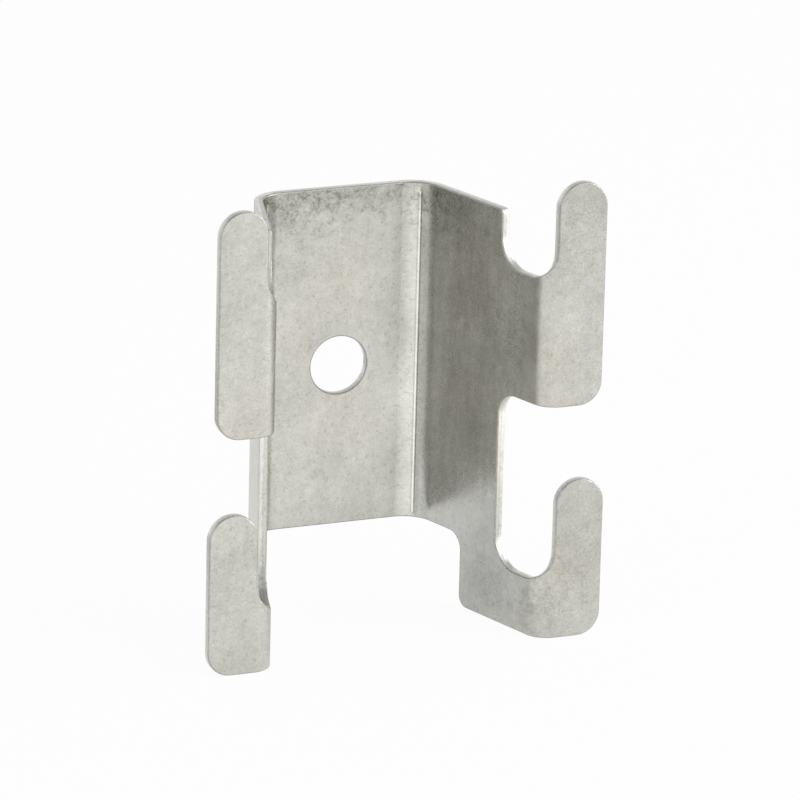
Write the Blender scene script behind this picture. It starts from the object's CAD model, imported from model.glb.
# %% [markdown]
# # Dressing a stamped wall bracket
# The real bracket is one piece of steel sheet, cut out and folded in a press. The engineering model
# already has its true shape, so this lesson is about finish: soft edges, a rolled grey surface with
# its mottling, bright sheared edges, and a plain studio to look at them in.

# %% Load the engineering model as a fixed frame
from math import cos, radians, sin, tan
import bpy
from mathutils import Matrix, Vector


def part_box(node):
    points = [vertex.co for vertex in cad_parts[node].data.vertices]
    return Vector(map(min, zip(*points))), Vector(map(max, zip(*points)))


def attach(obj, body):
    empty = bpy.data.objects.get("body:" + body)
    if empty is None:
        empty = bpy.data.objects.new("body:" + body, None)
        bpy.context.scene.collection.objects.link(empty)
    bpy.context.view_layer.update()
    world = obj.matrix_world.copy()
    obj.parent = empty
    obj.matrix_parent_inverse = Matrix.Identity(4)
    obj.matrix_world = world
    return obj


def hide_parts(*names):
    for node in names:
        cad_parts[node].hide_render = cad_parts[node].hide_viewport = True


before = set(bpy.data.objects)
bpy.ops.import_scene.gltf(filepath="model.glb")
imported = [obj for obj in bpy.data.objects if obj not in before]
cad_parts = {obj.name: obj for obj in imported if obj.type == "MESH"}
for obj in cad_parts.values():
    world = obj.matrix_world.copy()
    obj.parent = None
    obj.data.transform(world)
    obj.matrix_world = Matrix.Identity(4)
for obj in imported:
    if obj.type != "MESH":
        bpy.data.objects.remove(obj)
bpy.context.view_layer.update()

from types import SimpleNamespace

import bmesh
import bpy
from mathutils import Matrix, Vector
from mathutils.bvhtree import BVHTree

MM = 0.001

# %% [markdown]
# ## A clean copy of the sheet
# The engineering model arrives as loose triangles. The sheet could be modelled again by hand, but its
# size and folds are already right. So a copy is welded together, and the triangles that lie in one
# plane are dissolved into single faces. Clean faces are what bevels need, and working on a copy leaves
# the original as it is.

# %% Copy the engineering node
def only(piece):
    """Selects one object and makes it the active one."""
    bpy.ops.object.select_all(action="DESELECT")
    piece.select_set(True)
    bpy.context.view_layer.objects.active = piece


only(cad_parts["bracket"])
bpy.ops.object.duplicate(linked=False)
sheet = bpy.context.view_layer.objects.active
sheet.name = "folded_sheet"
sheet.parent = None
sheet.data.name = "folded_sheet"
for key in [k for k in sheet.keys() if k.startswith("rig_")]:
    del sheet[key]
print("triangles in the copy:", len(sheet.data.polygons))

# %% Weld and dissolve
WELD = 0.002 * MM
FLAT = radians(0.2)

bpy.ops.object.mode_set(mode="EDIT")
bpy.ops.mesh.select_all(action="SELECT")
bpy.ops.mesh.remove_doubles(threshold=WELD)
bpy.ops.mesh.dissolve_limited(angle_limit=FLAT)
bpy.ops.object.mode_set(mode="OBJECT")
print("faces after dissolving:", len(sheet.data.polygons))

# %% [markdown]
# ## Telling a rolled face from a sheared edge
# A press shears the outline and leaves the rolled faces alone, so the two have different finishes.
# They could be picked by hand, but one rule settles all of them: behind a rolled face the metal is one
# sheet thick, and behind a sheared edge it goes on for several millimetres. A ray sent into the metal
# measures it. Near a fold, a few rays from a sheared edge come out early. Those faces are strays, and
# their neighbours give them away: they run on softly from a sheared face, which a rolled one never
# does.

# %% A material slot for each finish
ROLLED, SHEARED, RIM = range(3)

finishes = [bpy.data.materials.new(name) for name in ("rolled_steel", "sheared_steel", "rim_steel")]
sheet.data.materials.clear()
for finish in finishes:
    sheet.data.materials.append(finish)
print("finishes:", [finish.name for finish in finishes])

# %% Measure the metal behind every face
SHEET = 1.5 * MM
UNDER_THE_SKIN = SHEET / 100
MORE_THAN_A_SHEET = 1.3 * SHEET


def metal_behind(metal, face):
    """Length of metal straight behind the middle of a face."""
    inward = -face.normal
    start = face.calc_center_median() + inward * UNDER_THE_SKIN
    hit = metal.ray_cast(start, inward)
    return hit[3] if hit[3] is not None else 0


shape = bmesh.new()
shape.from_mesh(sheet.data)
metal = BVHTree.FromBMesh(shape)
for face in shape.faces:
    face.material_index = SHEARED if metal_behind(metal, face) > MORE_THAN_A_SHEET else ROLLED
print("sheared faces found by the rays:", sum(f.material_index == SHEARED for f in shape.faces))

# %% Find the strays by their neighbours
SOFT = radians(30)


def meets_sheared(face):
    """True where the face runs on softly from a sheared one, as a rolled face never does."""
    soft = [edge for edge in face.edges if edge.calc_face_angle() < SOFT]
    return any(other.material_index == SHEARED for edge in soft for other in edge.link_faces)


strays = [face for face in shape.faces if face.material_index == ROLLED and meets_sheared(face)]
for face in strays:
    face.material_index = SHEARED
print("sheared faces found by their neighbours:", len(strays))
shape.to_mesh(sheet.data)
shape.free()

# %% [markdown]
# ## Soft edges
# No edge on the real bracket is sharp. The punch drags the sheet down as it enters, so on that side
# the outline is rounded over. On the far side it breaks away and leaves a thin edge, which tumbling
# takes off. Every edge could be bevelled alike, but here each outline edge is given a weight, 1 on the
# front skin and less on the back, and one bevel modifier reads the weights. Edges inside a fold get
# none, because the sheet only bends there. The bevel's faces get a material slot of their own, because
# a rim has its own tone, darker than the face in front and nearly as bright as the cut at the back.

# %% Weight the outline
SHARP = radians(60)
BACK_SHARE = 0.5


def outline_weight(edge):
    """Share of the full rounding that an edge gets, none where the sheet only bends."""
    kinds = {face.material_index for face in edge.link_faces}
    if kinds != {ROLLED, SHEARED} or edge.calc_face_angle() < SHARP:
        return 0.0
    front = any(f.material_index == ROLLED and f.normal.y < 0 for f in edge.link_faces)
    return 1.0 if front else BACK_SHARE


shape = bmesh.new()
shape.from_mesh(sheet.data)
edge_weights = [outline_weight(edge) for edge in shape.edges]
shape.free()
sheet.data.attributes.new("bevel_weight_edge", "FLOAT", "EDGE").data.foreach_set("value", edge_weights)
print("outline edges:", sum(w > 0 for w in edge_weights), "of", len(edge_weights))

# %% Bevel the outline
ROLLOVER = 0.22 * MM
ROUNDING_STEPS = 4

rounding = sheet.modifiers.new("rounding", "BEVEL")
rounding.limit_method = "WEIGHT"
rounding.width = ROLLOVER
rounding.segments = ROUNDING_STEPS
rounding.material = RIM
rounding.loop_slide = False
rounding.use_clamp_overlap = False
only(sheet)
bpy.ops.object.modifier_apply(modifier=rounding.name)
print("faces after bevelling:", len(sheet.data.polygons))

# %% Smooth the folds and keep the flats flat
STAYS_SHARP = radians(32)

bpy.ops.object.shade_smooth_by_angle(angle=STAYS_SHARP)
weights = sheet.modifiers.new("weights", "WEIGHTED_NORMAL")
weights.mode = "FACE_AREA"
weights.keep_sharp = True
bpy.ops.object.modifier_apply(modifier=weights.name)
print("edges that stay sharp:", sum(edge.use_edge_sharp for edge in sheet.data.edges))

# %% [markdown]
# ## How deep a point lies in the sheet
# A sheared edge has two bands, because the punch cuts part of the way and the rest breaks. The bands
# follow the edge round every corner, which no straight coordinate does, and unwrapping so thin an edge
# would be slow work. So each point keeps its distance from the front skin as an attribute, and the
# materials read that.

# %% Store the depth, from 0 on the front skin to 1 on the back
NEARLY_BACK = 0.95

shape = bmesh.new()
shape.from_mesh(sheet.data)
places = [v.co.copy() for v in shape.verts]
others = [f for f in shape.faces if f.material_index != ROLLED or f.normal.y > 0]
bmesh.ops.delete(shape, geom=others, context="FACES")
front_skin = BVHTree.FromBMesh(shape)
shape.free()
depths = [min(1.0, front_skin.find_nearest(place)[3] / SHEET) for place in places]
sheet.data.attributes.new("depth", "FLOAT", "POINT").data.foreach_set("value", depths)
print("points on the back skin:", sum(d > NEARLY_BACK for d in depths), "of", len(depths))

# %% [markdown]
# ## Taking the engineering node's place
# The engineering sheet could be kept and given a new material, but its mesh may not be changed, so its
# edges would stay sharp. Instead the dressed sheet now stands for it, and the engineering one stays
# hidden underneath for the physics. Nothing on a wall bracket moves, so the sheet rides on the only
# body, and it takes its finish from the record's slot for sheet steel.

# %% Replace the node
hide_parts("bracket")
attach(sheet, "root")
print(sheet.name, "stands for the bracket, with", len(sheet.data.vertices), "points")

# %% [markdown]
# ## The view
# A product is pictured from well back with a long lens, so its upright edges stay nearly parallel. A
# nearer camera with a short lens would make the front hooks look too large. The camera looks down a
# little and from the left, aimed at a point near the middle of the bracket.

# %% Camera
AIM = Vector((8.92, -7.05, -5.29)) * MM
AZIMUTH = radians(22.655)
ELEVATION = radians(17.649)
ROLL = radians(1.457)
DISTANCE = 1.0513
LENS = 283.82
SENSOR = 36
NEAREST = 0.05
FARTHEST = 50

optics = bpy.data.cameras.new("camera")
optics.lens = LENS
optics.sensor_width = SENSOR
optics.clip_start = NEAREST
optics.clip_end = FARTHEST
camera = bpy.data.objects.new("camera", optics)
bpy.context.scene.collection.objects.link(camera)
heading = Matrix.Rotation(-AZIMUTH, 4, "Z") @ Matrix.Rotation(radians(90) - ELEVATION, 4, "X")
turn = heading @ Matrix.Rotation(ROLL, 4, "Z")
camera.matrix_world = Matrix.Translation(AIM) @ turn @ Matrix.Translation((0, 0, DISTANCE))
bpy.context.scene.camera = camera
print("camera stands at", [round(v, 3) for v in camera.matrix_world.translation])

# %% [markdown]
# ## Node trees in code
# Materials are trees of nodes. They could be wired by hand in the shader editor, but code can be read
# from top to bottom and repeated. A few helpers keep it short: each adds one node, joins it to what is
# given and hands back its result, so that a line of code reads like a formula.

# %% A helper that adds a node
def add(tree, kind, **settings):
    """New node, with properties set by name and inputs set by a dictionary."""
    node = tree.nodes.new(kind)
    inputs = settings.pop("inputs", {})
    for name, value in settings.items():
        setattr(node, name, value)
    for socket, value in inputs.items():
        if isinstance(value, bpy.types.NodeSocket):
            tree.links.new(value, node.inputs[socket])
        else:
            node.inputs[socket].default_value = value
    return node


print("made", add.__name__)


# %% Helpers for sums and ranges
def calc(tree, operation, *values):
    """Result of one arithmetic step on sockets and numbers."""
    return add(tree, "ShaderNodeMath", operation=operation, inputs=dict(enumerate(values))).outputs[0]


def ramp(tree, value, low, high, out_low=0.0, out_high=1.0):
    """Smooth step of a value from one range to another."""
    ends = {"From Min": low, "From Max": high, "To Min": out_low, "To Max": out_high}
    inputs = {"Value": value, **ends}
    return add(tree, "ShaderNodeMapRange", interpolation_type="SMOOTHSTEP", inputs=inputs).outputs[0]


print("made", [helper.__name__ for helper in (calc, ramp)])

# %% Helpers for vectors and colours
# A Mix node has sockets for every kind of value: 4 and 5 take vectors, and 6 and 7 take colours.
GIVES_A_NUMBER = ("DISTANCE", "DOT_PRODUCT", "LENGTH")


def vector(tree, operation, *values):
    """Result of one arithmetic step on vectors or colours."""
    node = add(tree, "ShaderNodeVectorMath", operation=operation, inputs=dict(enumerate(values)))
    return node.outputs["Value" if operation in GIVES_A_NUMBER else "Vector"]


def scaled(tree, value, factor):
    """Vector or colour times a number."""
    inputs = {"Vector": value, "Scale": factor}
    return add(tree, "ShaderNodeVectorMath", operation="SCALE", inputs=inputs).outputs["Vector"]


def mixed(tree, share, first, second):
    """Colour that goes from the first to the second as the share goes from 0 to 1."""
    inputs = {0: share, 4: first, 5: second}
    return add(tree, "ShaderNodeMix", data_type="VECTOR", inputs=inputs).outputs[1]


print("made", [helper.__name__ for helper in (vector, scaled, mixed)])

# %% [markdown]
# ## The floor
# In a studio such a part stands on white paper that runs back a long way. A wall behind it could be
# built, but a floor that reaches far enough fills the picture by itself. The camera is shown nearly
# pure white, with only a part of the true shading mixed in, which keeps a faint shadow. A white
# background made this way needs no extra light, so the metal keeps its own tone.

# %% The floor plane
FLOOR_HALF = 6.0

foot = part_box("bracket")[0].z
bpy.ops.mesh.primitive_plane_add(size=2 * FLOOR_HALF, location=(0, 0, foot))
floor = bpy.context.view_layer.objects.active
floor.name = "floor"
paint = bpy.data.materials.new("white_floor")
paint.use_nodes = True
floor.data.materials.append(paint)
print("the floor lies at", round(foot / MM, 2), "mm")

# %% [markdown]
# ## What the metal mirrors
# Bare metal is a dull mirror, and its tones are those of whatever stands round it. In a studio, grey
# cards are laid beside it, out of view, so that one face turns out darker than the next. Real planes
# could stand for the cards, but they would also cast shadows. So the floor's material shows glossy
# rays a warm white in front of the bracket, a greyer one under and behind it, and two soft grey cards.

# %% White paper, greyer behind the bracket
FRONT_TINT = (1.0, 0.99, 0.935)
BEHIND_TINT = (1.0, 1.0, 0.985)
FRONT_LINE = -44 * MM
BEHIND_LINE = -14 * MM
FAR_LINE = 20 * MM
UNDER_WHITE = 0.75
FAR_WHITE = 0.90

tree = paint.node_tree
tree.nodes.clear()
place = add(tree, "ShaderNodeTexCoord").outputs["Object"]
way_back = add(tree, "ShaderNodeSeparateXYZ", inputs={0: place}).outputs["Y"]
behind = ramp(tree, way_back, FRONT_LINE, BEHIND_LINE)
back_white = ramp(tree, way_back, BEHIND_LINE, FAR_LINE, UNDER_WHITE, FAR_WHITE)
loss = calc(tree, "MULTIPLY", behind, calc(tree, "SUBTRACT", back_white, 1.0))
tint = mixed(tree, behind, FRONT_TINT, BEHIND_TINT)
mirrored = scaled(tree, tint, calc(tree, "ADD", 1.0, loss))
print("paper turns grey from", FRONT_LINE / MM, "to", BEHIND_LINE / MM, "mm")

# %% Two grey cards
CARDS = (
    {"middle": (-0.103, 0.073, 0.0), "reach": 0.095, "shade": (0.40, 0.39, 0.355)},
    {"middle": (-0.052, 0.155, 0.0), "reach": 0.075, "shade": (0.38, 0.38, 0.375)},
)
CARD_CORE = 0.4

for card in CARDS:
    off_middle = vector(tree, "DISTANCE", place, card["middle"])
    share = ramp(tree, off_middle, CARD_CORE * card["reach"], card["reach"], 1.0, 0.0)
    shaded = vector(tree, "MULTIPLY", mirrored, card["shade"])
    mirrored = mixed(tree, share, mirrored, shaded)
print("grey cards:", len(CARDS))

# %% What each kind of ray is shown
FLOOR_WHITE = 0.85
SHOWN_WHITE = 0.95
WHITE = (1, 1, 1)

path = add(tree, "ShaderNodeLightPath").outputs
seen = calc(tree, "MAXIMUM", path["Is Camera Ray"], path["Is Transmission Ray"])
looked_at = calc(tree, "MAXIMUM", seen, path["Is Glossy Ray"])
shown = add(tree, "ShaderNodeEmission", inputs={"Color": mixed(tree, seen, mirrored, WHITE)}).outputs[0]
colour = (FLOOR_WHITE, FLOOR_WHITE, FLOOR_WHITE, 1)
paper = add(tree, "ShaderNodeBsdfDiffuse", inputs={"Color": colour}).outputs[0]
share = calc(tree, "MULTIPLY", looked_at, SHOWN_WHITE)
surface = add(tree, "ShaderNodeMixShader", inputs={0: share, 1: paper, 2: shown})
add(tree, "ShaderNodeOutputMaterial", inputs={"Surface": surface.outputs[0]})
print("nodes in the floor's material:", len(tree.nodes))

# %% [markdown]
# ## The room
# Round the floor there is only a white room, whose light fills the shadows. A picture of a real studio
# could light the scene, but three numbers give the same softness and are easy to change. Surfaces are
# lit by AROUND. Glossy rays find walls that are a little darker than white, and a ceiling that is much
# darker, so metal that looks up turns out greyer. WALL_TOP and CEILING_FROM say how high the one turns
# into the other, from 0 at eye level to 1 overhead. The camera sees white.

# %% World
AROUND = 0.6
WALL_WHITE = 0.85
CEILING_WHITE = 0.35
WALL_TOP = 0.35
CEILING_FROM = 0.8

world = bpy.data.worlds.new("studio")
world.use_nodes = True
bpy.context.scene.world = world
tree = world.node_tree
path = add(tree, "ShaderNodeLightPath").outputs
seen = calc(tree, "MAXIMUM", path["Is Camera Ray"], path["Is Transmission Ray"])
direction = add(tree, "ShaderNodeTexCoord").outputs["Generated"]
upward = add(tree, "ShaderNodeSeparateXYZ", inputs={0: direction}).outputs["Z"]
mirrored = ramp(tree, upward, WALL_TOP, CEILING_FROM, WALL_WHITE, CEILING_WHITE)
level = ramp(tree, path["Is Glossy Ray"], 0, 1, AROUND, mirrored)
level = ramp(tree, seen, 0, 1, level, 1.0)
around = tree.nodes["Background"]
around.inputs["Color"].default_value = (*WHITE, 1)
tree.links.new(level, around.inputs["Strength"])
print("nodes in the world:", len(tree.nodes))

# %% [markdown]
# ## The lamps
# A small lamp shows in bare metal as a hard white dot on every rounded rim. Softboxes, which are large
# square lamps, show as a broad sheen instead, so four of them are used. The key and the low one stand
# on the right, cream in colour, and light the faces and the sheared edges that look that way. The top
# one draws the upper edges, and the fill opens up the shadows from the left.

# %% Lamps
CREAM = (1.0, 0.975, 0.90)
LAMPS = (
    {"name": "key", "place": (0.78, -0.45, 0.46), "size": 0.9, "watts": 4.0, "colour": CREAM},
    {"name": "fill", "place": (-0.95, -0.30, 0.45), "size": 0.5, "watts": 0.8, "colour": WHITE},
    {"name": "low", "place": (0.85, -0.52, 0.12), "size": 0.4, "watts": 2.3, "colour": CREAM},
    {"name": "top", "place": (0.40, -0.33, 0.96), "size": 0.9, "watts": 1.2, "colour": WHITE},
)


def softbox(name, place, size, watts, colour):
    """Large square lamp that looks at the bracket."""
    lamp = bpy.data.lights.new(name, "AREA")
    lamp.color = colour
    lamp.size = size
    lamp.energy = watts
    holder = bpy.data.objects.new(name, lamp)
    bpy.context.scene.collection.objects.link(holder)
    holder.location = place
    holder.rotation_euler = (AIM - Vector(place)).to_track_quat("-Z", "Y").to_euler()


for lamp in LAMPS:
    softbox(**lamp)
print("lamps:", {lamp["name"]: lamp["watts"] for lamp in LAMPS})

# %% [markdown]
# ## The rolled surface
# Bare rolled steel is grey and nearly matt. Close to, it is never even: there are cloudy patches,
# fine dark pits, ring-like marks where drops of oil dried, a few bright scratches, and faint streaks
# along the rolling direction. A scanned picture could be wrapped over the sheet, but noise needs no
# unwrapping and stays sharp at any distance. Each mark is a noise of its own size, and one node group
# adds them up, so every finish on the part can use it.

# %% A node group and its sockets
def new_group(name, inputs, outputs):
    """Empty node group: its inputs with their usual values, and its outputs, which are numbers."""
    group = bpy.data.node_groups.new(name, "ShaderNodeTree")
    for socket, value in inputs.items():
        kind = "NodeSocketVector" if isinstance(value, tuple) else "NodeSocketFloat"
        group.interface.new_socket(socket, in_out="INPUT", socket_type=kind).default_value = value
    for socket in outputs:
        group.interface.new_socket(socket, in_out="OUTPUT", socket_type="NodeSocketFloat")
    return group


USUAL = {"Cloud": 0.05, "Grain": 0.05, "Pits": 0.14, "Glints": 0.1, "Streak": 0.04, "Rings": 0.0}
mill = new_group("mill_surface", USUAL, ("Tone", "Rough", "Height", "Broken"))
given = add(mill, "NodeGroupInput").outputs
in_mm = scaled(mill, add(mill, "ShaderNodeTexCoord").outputs["Object"], 1 / MM)
print("the mill surface takes", list(USUAL))


# %% Helpers for noise
def noise(tree, point, scale, detail, hard=0.5, stretch=(1, 1, 1), shift=(0, 0, 0)):
    """Random value about a half, finer with a larger scale and crisper with more detail."""
    moved = add(tree, "ShaderNodeMapping", inputs={"Vector": point, "Location": shift, "Scale": stretch})
    inputs = {"Vector": moved.outputs[0], "Scale": scale, "Detail": detail, "Roughness": hard}
    return add(tree, "ShaderNodeTexNoise", inputs=inputs).outputs["Fac"]


def swing(tree, value, amount):
    """Value about zero, from a noise about a half."""
    return calc(tree, "MULTIPLY", calc(tree, "SUBTRACT", value, 0.5), amount)


def contour(tree, value, level, width):
    """Thin line where a noise crosses a level."""
    gap = calc(tree, "ABSOLUTE", calc(tree, "SUBTRACT", value, level))
    return ramp(tree, gap, 0.0, width, 1.0, 0.0)


print("made", [helper.__name__ for helper in (noise, swing, contour)])

# %% Clouds, grain and streaks
cloud = noise(mill, in_mm, scale=0.11, detail=4, shift=(3.1, 0, 7.7))
blotch = noise(mill, in_mm, scale=0.5, detail=4, hard=0.6, shift=(0, 5, 0))
fleck = noise(mill, in_mm, scale=1.1, detail=3, hard=0.75, shift=(7, 2, 9))
grain = noise(mill, in_mm, scale=2.8, detail=3, hard=0.8)
streak = noise(mill, in_mm, scale=0.55, detail=4, hard=0.7, stretch=(1, 1, 0.14))
print("nodes so far:", len(mill.nodes))

# %% Pits and glints
pit_noise = noise(mill, in_mm, scale=1.7, detail=2, hard=0.4, shift=(9, 4, 2))
pit = ramp(mill, pit_noise, low=0.60, high=0.70)
glint_noise = noise(mill, in_mm, scale=2.6, detail=2, stretch=(1, 1, 0.6), shift=(1, 8, 5))
glint = ramp(mill, glint_noise, low=0.66, high=0.74)
print("nodes so far:", len(mill.nodes))

# %% Rings where oil dried, a pale line beside a dark one, in clusters
PALE_LEVEL = 0.505
DARK_LEVEL = 0.475
RING_WIDTH = 0.02

dried = noise(mill, in_mm, scale=0.62, detail=3, hard=0.55, shift=(2, 6, 1))
cluster_noise = noise(mill, in_mm, scale=0.14, detail=3, hard=0.6, shift=(8, 1, 4))
clusters = ramp(mill, cluster_noise, low=0.5, high=0.6)
pale_line = contour(mill, dried, PALE_LEVEL, RING_WIDTH)
dark_line = contour(mill, dried, DARK_LEVEL, RING_WIDTH)
ring = calc(mill, "MULTIPLY", calc(mill, "SUBTRACT", pale_line, dark_line), clusters)
print("nodes so far:", len(mill.nodes))

# %% Add the marks up to a tone
# A noise stays close to a half, so each swing about zero is widened by a number of its own.
marks = (
    (swing(mill, cloud, 5), "Cloud"),
    (swing(mill, blotch, 3), "Cloud"),
    (swing(mill, fleck, 5), "Grain"),
    (swing(mill, grain, 6), "Grain"),
    (swing(mill, streak, 4), "Streak"),
    (calc(mill, "MULTIPLY", pit, -1.0), "Pits"),
    (glint, "Glints"),
    (ring, "Rings"),
)
tone = 1.0
for mark, amount in marks:
    tone = calc(mill, "ADD", tone, calc(mill, "MULTIPLY", mark, given[amount]))
print("marks added up:", len(marks))

# %% Roughness, height and broken specks
GRAIN_ROUGH = 1.0
BLOTCH_ROUGH = 0.4
GRAIN_RISE = 0.6
BLOTCH_RISE = 0.8
PIT_FALL = 0.5
FLECK_BREAKS = 0.6

rough = calc(mill, "ADD", swing(mill, grain, GRAIN_ROUGH), swing(mill, blotch, BLOTCH_ROUGH))
height = calc(mill, "MULTIPLY", grain, GRAIN_RISE)
height = calc(mill, "SUBTRACT", height, calc(mill, "MULTIPLY", pit, PIT_FALL))
height = calc(mill, "ADD", height, calc(mill, "MULTIPLY", blotch, BLOTCH_RISE))
speckle = noise(mill, in_mm, scale=1.9, detail=4, hard=0.85, shift=(4, 4, 6))
specks = calc(mill, "ADD", speckle, swing(mill, fleck, FLECK_BREAKS))
broken = ramp(mill, specks, low=0.44, high=0.58)
results = {"Tone": tone, "Rough": rough, "Height": height, "Broken": broken}
add(mill, "NodeGroupOutput", inputs=results)
print("nodes in the mill surface:", len(mill.nodes))

# %% [markdown]
# ## One steel for three finishes
# The rolled faces, the cut edges and the rims are one metal, so they share a recipe and differ only in
# colour and roughness. The Principled shader is set to full metal, the mill surface multiplies its
# colour, moves its roughness and feeds a bump. Three materials could be wired one by one, but a helper
# keeps them alike.

# %% Helper: metal with the mill surface
ROUGH_SHARE = 0.35
BUMP_STRENGTH = 0.5
BUMP_DEPTH = 0.02 * MM


def steel(material, colour, roughness, amounts):
    """Metal with the mill surface in its colour, roughness and bump; hands back its main sockets."""
    material.use_nodes = True
    tree = material.node_tree
    shader = tree.nodes["Principled BSDF"].inputs
    shader["Metallic"].default_value = 1.0
    surface = add(tree, "ShaderNodeGroup", node_tree=mill, inputs=amounts)
    tinted = scaled(tree, colour, surface.outputs["Tone"])
    tree.links.new(tinted, shader["Base Color"])
    change = calc(tree, "MULTIPLY", surface.outputs["Rough"], ROUGH_SHARE)
    rough = calc(tree, "ADD", roughness, change)
    tree.links.new(rough, shader["Roughness"])
    relief = {"Height": surface.outputs["Height"], "Strength": BUMP_STRENGTH, "Distance": BUMP_DEPTH}
    tree.links.new(add(tree, "ShaderNodeBump", inputs=relief).outputs[0], shader["Normal"])
    return SimpleNamespace(
        tree=tree,
        mill=surface.inputs,
        shader=shader,
        colour=tinted,
        rough=rough,
        broken=surface.outputs["Broken"],
    )


print("bump depth, mm:", BUMP_DEPTH / MM)

# %% [markdown]
# ## Rolled steel
# The faces of the bracket have the colour of plain uncoated sheet, grey with a hint of yellow. The two
# side walls were drawn past the punch when they were folded, so they are a little darker than the web,
# with finer grain and with streaks that run up and down. A second material could be given to the walls,
# but it would change at a hard line. A mask that fades does it within one material.

# %% Rolled steel, plain
ROLLED_COLOUR = (0.628, 0.625, 0.603)
ROLLED_ROUGHNESS = 0.22

look = steel(finishes[ROLLED], ROLLED_COLOUR, ROLLED_ROUGHNESS, {"Cloud": 0.08, "Rings": 0.10})
tree = look.tree
place = add(tree, "ShaderNodeTexCoord").outputs["Object"]
axes = add(tree, "ShaderNodeSeparateXYZ", inputs={0: place}).outputs
sideways = calc(tree, "ABSOLUTE", axes["X"])
print("rolled colour:", ROLLED_COLOUR)

# %% Finer grain and streaks on the side walls
WALL_NEAR = 16 * MM
WALL_FAR = 23 * MM
WALL_MARGIN = 1 * MM
WEB_GRAIN = 0.085
WALL_GRAIN = 0.06
WEB_STREAK = 0.05
WALL_STREAK = 0.15
STREAKS_FROM = -24 * MM
STREAKS_FULL = -14 * MM
WALL_TONE = 0.93


def between(tree, value, low, high, margin):
    """1 where a value lies between two limits, fading over a margin on each side of them."""
    rise = ramp(tree, value, low - margin, low + margin)
    fall = ramp(tree, value, high - margin, high + margin, 1.0, 0.0)
    return calc(tree, "MULTIPLY", rise, fall)


wall = between(tree, sideways, WALL_NEAR, WALL_FAR, WALL_MARGIN)
tree.links.new(ramp(tree, wall, 0, 1, WEB_GRAIN, WALL_GRAIN), look.mill["Grain"])
upper = calc(tree, "MULTIPLY", wall, ramp(tree, axes["Z"], STREAKS_FROM, STREAKS_FULL))
tree.links.new(ramp(tree, upper, 0, 1, WEB_STREAK, WALL_STREAK), look.mill["Streak"])
tone = ramp(tree, wall, 0, 1, 1.0, WALL_TONE)
print("side walls from", WALL_NEAR / MM, "to", WALL_FAR / MM, "mm from the middle")

# %% [markdown]
# ## The crease in the folds
# Where the web turns into a side wall, the corner of the punch has pressed a fine bright line with a
# dark one on each side, in a strip that it rubbed bright. Beside the strip lies metal that it never
# touched, a little darker. A groove could be cut into the mesh, but one so fine needs thousands of thin
# faces, so it is drawn in the material. How far a point lies across the fold follows from the fold's
# own size, and both folds share it, because they are mirror images. The punch pressed less hard on the
# left, so the line is fainter there.

# %% How far a point lies across the fold and away from its inner face
WEB_HALF = 14.4 * MM
BEND_INSIDE = 5.0 * MM
HALF_TURN = radians(37)

along = Vector((cos(HALF_TURN), -sin(HALF_TURN), 0))
outward = Vector((sin(HALF_TURN), cos(HALF_TURN), 0))
fold_axis = Vector((WEB_HALF - BEND_INSIDE * tan(HALF_TURN), -SHEET - BEND_INSIDE, 0))
fold_middle = fold_axis + BEND_INSIDE * outward
level = add(tree, "ShaderNodeCombineXYZ", inputs={"X": sideways, "Y": axes["Y"]}).outputs[0]
offset = vector(tree, "SUBTRACT", level, fold_middle)
across = vector(tree, "DOT_PRODUCT", offset, along)
away = vector(tree, "DOT_PRODUCT", offset, outward)
print("middle of the fold, mm:", [round(v / MM, 2) for v in fold_middle])

# %% Masks for the inner face and for the length of the line
INNER_FULL = 0.5 * MM
INNER_END = 0.7 * MM
CREASE_LOW = -27.0 * MM
CREASE_HIGH = 29.2 * MM
CREASE_MARGIN = 0.2 * MM
LEFT_SHARE = 0.3
CHANGE_OVER = 5 * MM

inner = ramp(tree, away, INNER_FULL, INNER_END, 1.0, 0.0)
length = between(tree, axes["Z"], CREASE_LOW, CREASE_HIGH, CREASE_MARGIN)
strength = ramp(tree, axes["X"], -CHANGE_OVER, CHANGE_OVER, LEFT_SHARE, 1.0)
line = calc(tree, "MULTIPLY", calc(tree, "MULTIPLY", length, inner), strength)
print("the line is", round((CREASE_HIGH - CREASE_LOW) / MM, 1), "mm long")

# %% Rubbed strip, untouched strip, and the line itself
# Each stripe has its middle and half width in millimetres across the fold, and its change of tone.
STRIPE_CORE = 0.4
STRIPE_EDGE = 1.4
STRIPS = ((0.0, 1.9, 0.21), (2.3, 0.8, -0.10))
LINES = ((-0.40, 0.12, -0.22), (-0.12, 0.10, 0.45), (0.18, 0.12, -0.42))


def stripe(tree, across, middle, half_width):
    """Soft stripe at a distance across the fold."""
    gap = calc(tree, "ABSOLUTE", calc(tree, "SUBTRACT", across, middle))
    return ramp(tree, gap, STRIPE_CORE * half_width, STRIPE_EDGE * half_width, 1.0, 0.0)


for mask, stripes in ((inner, STRIPS), (line, LINES)):
    for middle, half_width, change in stripes:
        mark = calc(tree, "MULTIPLY", stripe(tree, across, middle * MM, half_width * MM), mask)
        tone = calc(tree, "ADD", tone, calc(tree, "MULTIPLY", mark, change))
colour = scaled(tree, look.colour, tone)
print("stripes along the fold:", len(STRIPS) + len(LINES))

# %% The folds at the hooks are rougher, where the skin was stretched
FOLD_AT = 23.2 * MM
FOLD_CORE = 0.5 * MM
FOLD_REACH = 2.6 * MM
FOLD_ROUGHER = 0.12

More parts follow.
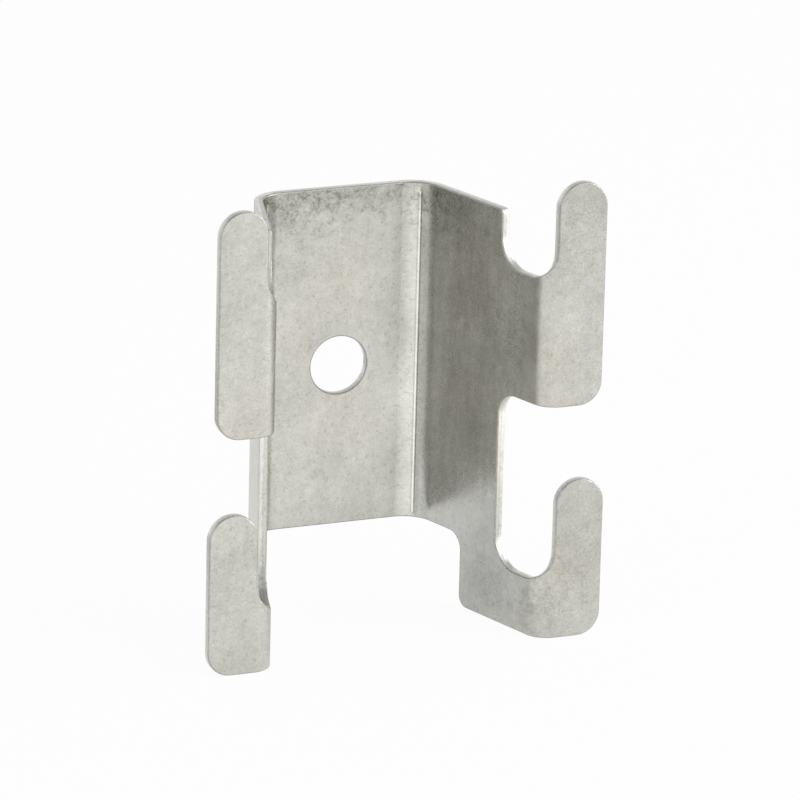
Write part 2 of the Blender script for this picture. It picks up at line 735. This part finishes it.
from_fold = calc(tree, "ABSOLUTE", calc(tree, "SUBTRACT", sideways, FOLD_AT))
fold = ramp(tree, from_fold, FOLD_CORE, FOLD_REACH, 1.0, 0.0)
rougher = calc(tree, "MULTIPLY", fold, FOLD_ROUGHER)
tree.links.new(calc(tree, "ADD", look.rough, rougher), look.shader["Roughness"])
print("the hooks fold at", FOLD_AT / MM, "mm from the middle")

# %% [markdown]
# ## Stains
# Handling, oil and storage leave soft grey and brown stains on bare steel, darkest along the top of
# the web and in the upper folds. They could be painted by hand on an unwrapped sheet. Here each is a
# ragged patch round a point, so it can be moved by its numbers, and its place stays the same in every
# view. Two finishes have stains, so the patch is a node group, and a noise frays its outline.

# %% Node group: one ragged patch
FRAY = 3.2
PATCH_CORE = -0.2
PATCH_EDGE = 1.3

stain = new_group("stain_patch", {"Centre": (0.0, 0.0, 0.0), "Size": 0.005, "Wobble": 0.0}, ("Mask",))
given = add(stain, "NodeGroupInput").outputs
here = add(stain, "ShaderNodeTexCoord").outputs["Object"]
far = vector(stain, "LENGTH", vector(stain, "SUBTRACT", here, given["Centre"]))
fray = calc(stain, "MULTIPLY", given["Wobble"], calc(stain, "MULTIPLY", given["Size"], FRAY))
core = calc(stain, "MULTIPLY", given["Size"], PATCH_CORE)
edge = calc(stain, "MULTIPLY", given["Size"], PATCH_EDGE)
mask = ramp(stain, calc(stain, "ADD", far, fray), core, edge, 1.0, 0.0)
add(stain, "NodeGroupOutput", inputs={"Mask": mask})
print("nodes in the stain patch:", len(stain.nodes))


# %% Helper: a patch at a place in millimetres
def patch(tree, wobble, centre, size):
    """Mask of one ragged patch, 1 where it is strongest."""
    inputs = {"Centre": Vector(centre) * MM, "Size": size * MM, "Wobble": wobble}
    return add(tree, "ShaderNodeGroup", node_tree=stain, inputs=inputs).outputs["Mask"]


WHOLE_SHARE = 0.35
SPECKLED_SHARE = 0.65

in_mm = scaled(tree, place, 1 / MM)
wobble = calc(tree, "SUBTRACT", noise(tree, in_mm, scale=0.45, detail=6, hard=0.75), 0.5)
speckled = calc(tree, "MULTIPLY", look.broken, SPECKLED_SHARE)
cover = calc(tree, "ADD", WHOLE_SHARE, speckled)
print("a stain covers", WHOLE_SHARE, "of the metal evenly and the rest in specks")

# %% Where the stains are: centre and size in millimetres, tint and strength
GREY = (0.78, 0.78, 0.77)
DULL = (0.76, 0.76, 0.76)
DARK = (0.55, 0.55, 0.54)
BLACK = (0.42, 0.42, 0.41)
BROWN = (0.93, 0.85, 0.76)
LIGHT = (1.06, 1.06, 1.05)
BRIGHT = (1.14, 1.13, 1.10)

WEB_STAINS = (
    ((-10, -1.5, 28.5), 9.0, DARK, 1.0),
    ((-3, -1.5, 31.5), 7.5, DARK, 1.0),
    ((4, -1.5, 32), 6.5, DARK, 0.9),
    ((10, -1.5, 31.5), 6.0, DARK, 0.9),
    ((-13, -1.5, 17), 5.5, GREY, 0.5),
    ((11, -1.5, 5), 4.0, GREY, 0.4),
    ((8, -1.5, -8), 12.0, LIGHT, 0.8),
    ((0, -1.5, 14), 7.0, BROWN, 0.4),
    ((-8, -1.5, 5), 5.0, BROWN, 0.45),
    ((1, -1.5, -9), 8.0, BROWN, 0.3),
    ((5, -1.5, -28), 4.5, GREY, 0.5),
)
WEB_FOLD_STAINS = (
    ((-15.6, -6, 28), 4.5, BLACK, 2.2),
    ((15.5, -5, 28), 4.5, DARK, 0.8),
    ((-15.4, -5.5, 22.5), 3.0, DARK, 1.6),
)
WALL_STAINS = (
    ((16.5, -9, 29), 8.5, DARK, 0.85),
    ((18, -14, 14), 16.0, GREY, 0.75),
    ((21, -24, 24), 6.0, GREY, 0.8),
    ((21.5, -25, 11), 8.0, GREY, 0.9),
    ((21, -22, -36), 7.0, GREY, 0.8),
    ((17.6, -12.5, 10), 3.5, BROWN, 0.8),
    ((18, -14, -8), 9.0, GREY, 0.4),
)
HOOK_FOLD_STAINS = (
    ((24.5, -33, 8), 6.0, BRIGHT, 0.7),
    ((24, -32.5, -34), 4.0, GREY, 0.4),
    ((25, -33.5, 8), 5.0, BROWN, 0.4),
    ((24.5, -32, -2), 4.0, BROWN, 0.8),
    ((24.5, -32, -10), 4.0, BROWN, 0.8),
    ((23.5, -31.5, -37), 5.0, GREY, 0.8),
)
HOOK_STAINS = (
    ((28, -33.5, 30), 9.0, GREY, 0.4),
    ((29, -33.5, -35), 7.0, GREY, 0.35),
    ((-28, -33.5, -36), 7.0, GREY, 0.35),
    ((-27, -33.5, 3), 5.5, BROWN, 0.5),
    ((28, -33.5, -29), 5.5, BROWN, 0.35),
    ((29, -33.5, 34), 16.0, DULL, 1.0),
    ((30, -33.5, -25), 18.0, DULL, 1.0),
)
STAINS = WEB_STAINS + WEB_FOLD_STAINS + WALL_STAINS + HOOK_FOLD_STAINS + HOOK_STAINS
print("stains:", len(STAINS))

# %% Lay the stains over the colour
for centre, size, tint, amount in STAINS:
    mask = calc(tree, "MULTIPLY", patch(tree, wobble, centre, size), cover)
    mask = calc(tree, "MULTIPLY", mask, amount)
    inputs = {0: mask, 6: colour, 7: (*tint, 1)}
    stained = add(tree, "ShaderNodeMix", data_type="RGBA", blend_type="MULTIPLY", inputs=inputs)
    colour = stained.outputs[2]
tree.links.new(colour, look.shader["Base Color"])
print("nodes in the rolled steel:", len(tree.nodes))

# %% [markdown]
# ## Sheared edges
# Fresh metal shows where the sheet was sheared, so its edges are lighter than its faces. The front
# band is duller and rougher, the band behind it is smoother and brighter, and a thin dark line with a
# ragged course parts them. The bands could be cut into the mesh as faces, but then every border would
# be straight. The depth attribute, nudged by the broken specks, draws them in the material instead.

# %% Two bands and the line between them
SHEARED_COLOUR = (0.765, 0.763, 0.74)
SHEARED_ROUGHNESS = 0.5
BAND_FROM = 0.56
BAND_FULL = 0.66
RAGGED = 0.08
LINE_WIDTH = 0.07

look = steel(finishes[SHEARED], SHEARED_COLOUR, SHEARED_ROUGHNESS, {"Cloud": 0.03, "Grain": 0.07})
tree = look.tree
depth = add(tree, "ShaderNodeAttribute", attribute_name="depth").outputs["Fac"]
ragged_depth = calc(tree, "ADD", depth, swing(tree, look.broken, RAGGED))
back_band = ramp(tree, ragged_depth, BAND_FROM, BAND_FULL)
dark_line = contour(tree, ragged_depth, BAND_FROM, LINE_WIDTH)
print("the back band starts", round(BAND_FROM * SHEET / MM, 2), "mm from the front skin")

# %% Tone and roughness of the bands
BACK_BRIGHTER = 0.14
BACK_SMOOTHER = 0.12
LINE_DARKER = 0.12

tone = calc(tree, "ADD", 1.0, calc(tree, "MULTIPLY", back_band, BACK_BRIGHTER))
tone = calc(tree, "SUBTRACT", tone, calc(tree, "MULTIPLY", dark_line, LINE_DARKER))
smooth = calc(tree, "SUBTRACT", look.rough, calc(tree, "MULTIPLY", back_band, BACK_SMOOTHER))
tree.links.new(smooth, look.shader["Roughness"])
colour = scaled(tree, look.colour, tone)
print("tone of the back band:", round(1 + BACK_BRIGHTER, 2))

# %% One grey patch on the lower left edge, where dirt has settled
DIRT_AT = (-22.5, -26, -32)
DIRT_SIZE = 9.0
DIRT_DARKER = 0.42
DIRT_RAGGED = 0.12

dirt = patch(tree, swing(tree, look.broken, DIRT_RAGGED), DIRT_AT, DIRT_SIZE)
clean = calc(tree, "SUBTRACT", 1.0, calc(tree, "MULTIPLY", dirt, DIRT_DARKER))
tree.links.new(scaled(tree, colour, clean), look.shader["Base Color"])
print("nodes in the sheared steel:", len(tree.nodes))

# %% [markdown]
# ## Rims
# A rim is the narrow rounding between a face and a sheared edge. On the front it was rolled over and
# holds a little oil, so it shows as a thin dark outline. At the back it is rubbed and nearly as bright
# as the cut. A Bevel node could find the rims of a sharp mesh, but here the rounding is real and has
# its own material slot, so a plain change of tone with depth is enough.

# %% Rims
RIM_COLOUR = (0.76, 0.756, 0.73)
RIM_ROUGHNESS = 0.44
FRONT_UP_TO = 0.3
BACK_FROM = 0.7
FRONT_RIM_TONE = 0.60
BACK_RIM_TONE = 0.95
SPECK_TONE = 0.08

look = steel(finishes[RIM], RIM_COLOUR, RIM_ROUGHNESS, {"Cloud": 0.02, "Grain": 0.06})
tree = look.tree
depth = add(tree, "ShaderNodeAttribute", attribute_name="depth").outputs["Fac"]
tone = ramp(tree, depth, FRONT_UP_TO, BACK_FROM, FRONT_RIM_TONE, BACK_RIM_TONE)
tone = calc(tree, "ADD", tone, calc(tree, "MULTIPLY", look.broken, SPECK_TONE))
tree.links.new(scaled(tree, look.colour, tone), look.shader["Base Color"])
print("nodes in the rim steel:", len(tree.nodes))

# %% [markdown]
# ## Colours, sizes and the end
# The Standard view shows a colour as it is written, where a filmic one would grey the white paper. The
# sizes of the engineering box and of the dressed model are written side by side, to show that the
# finish has changed nothing.

# %% Colours, sizes and the end
bpy.context.scene.view_settings.view_transform = "Standard"
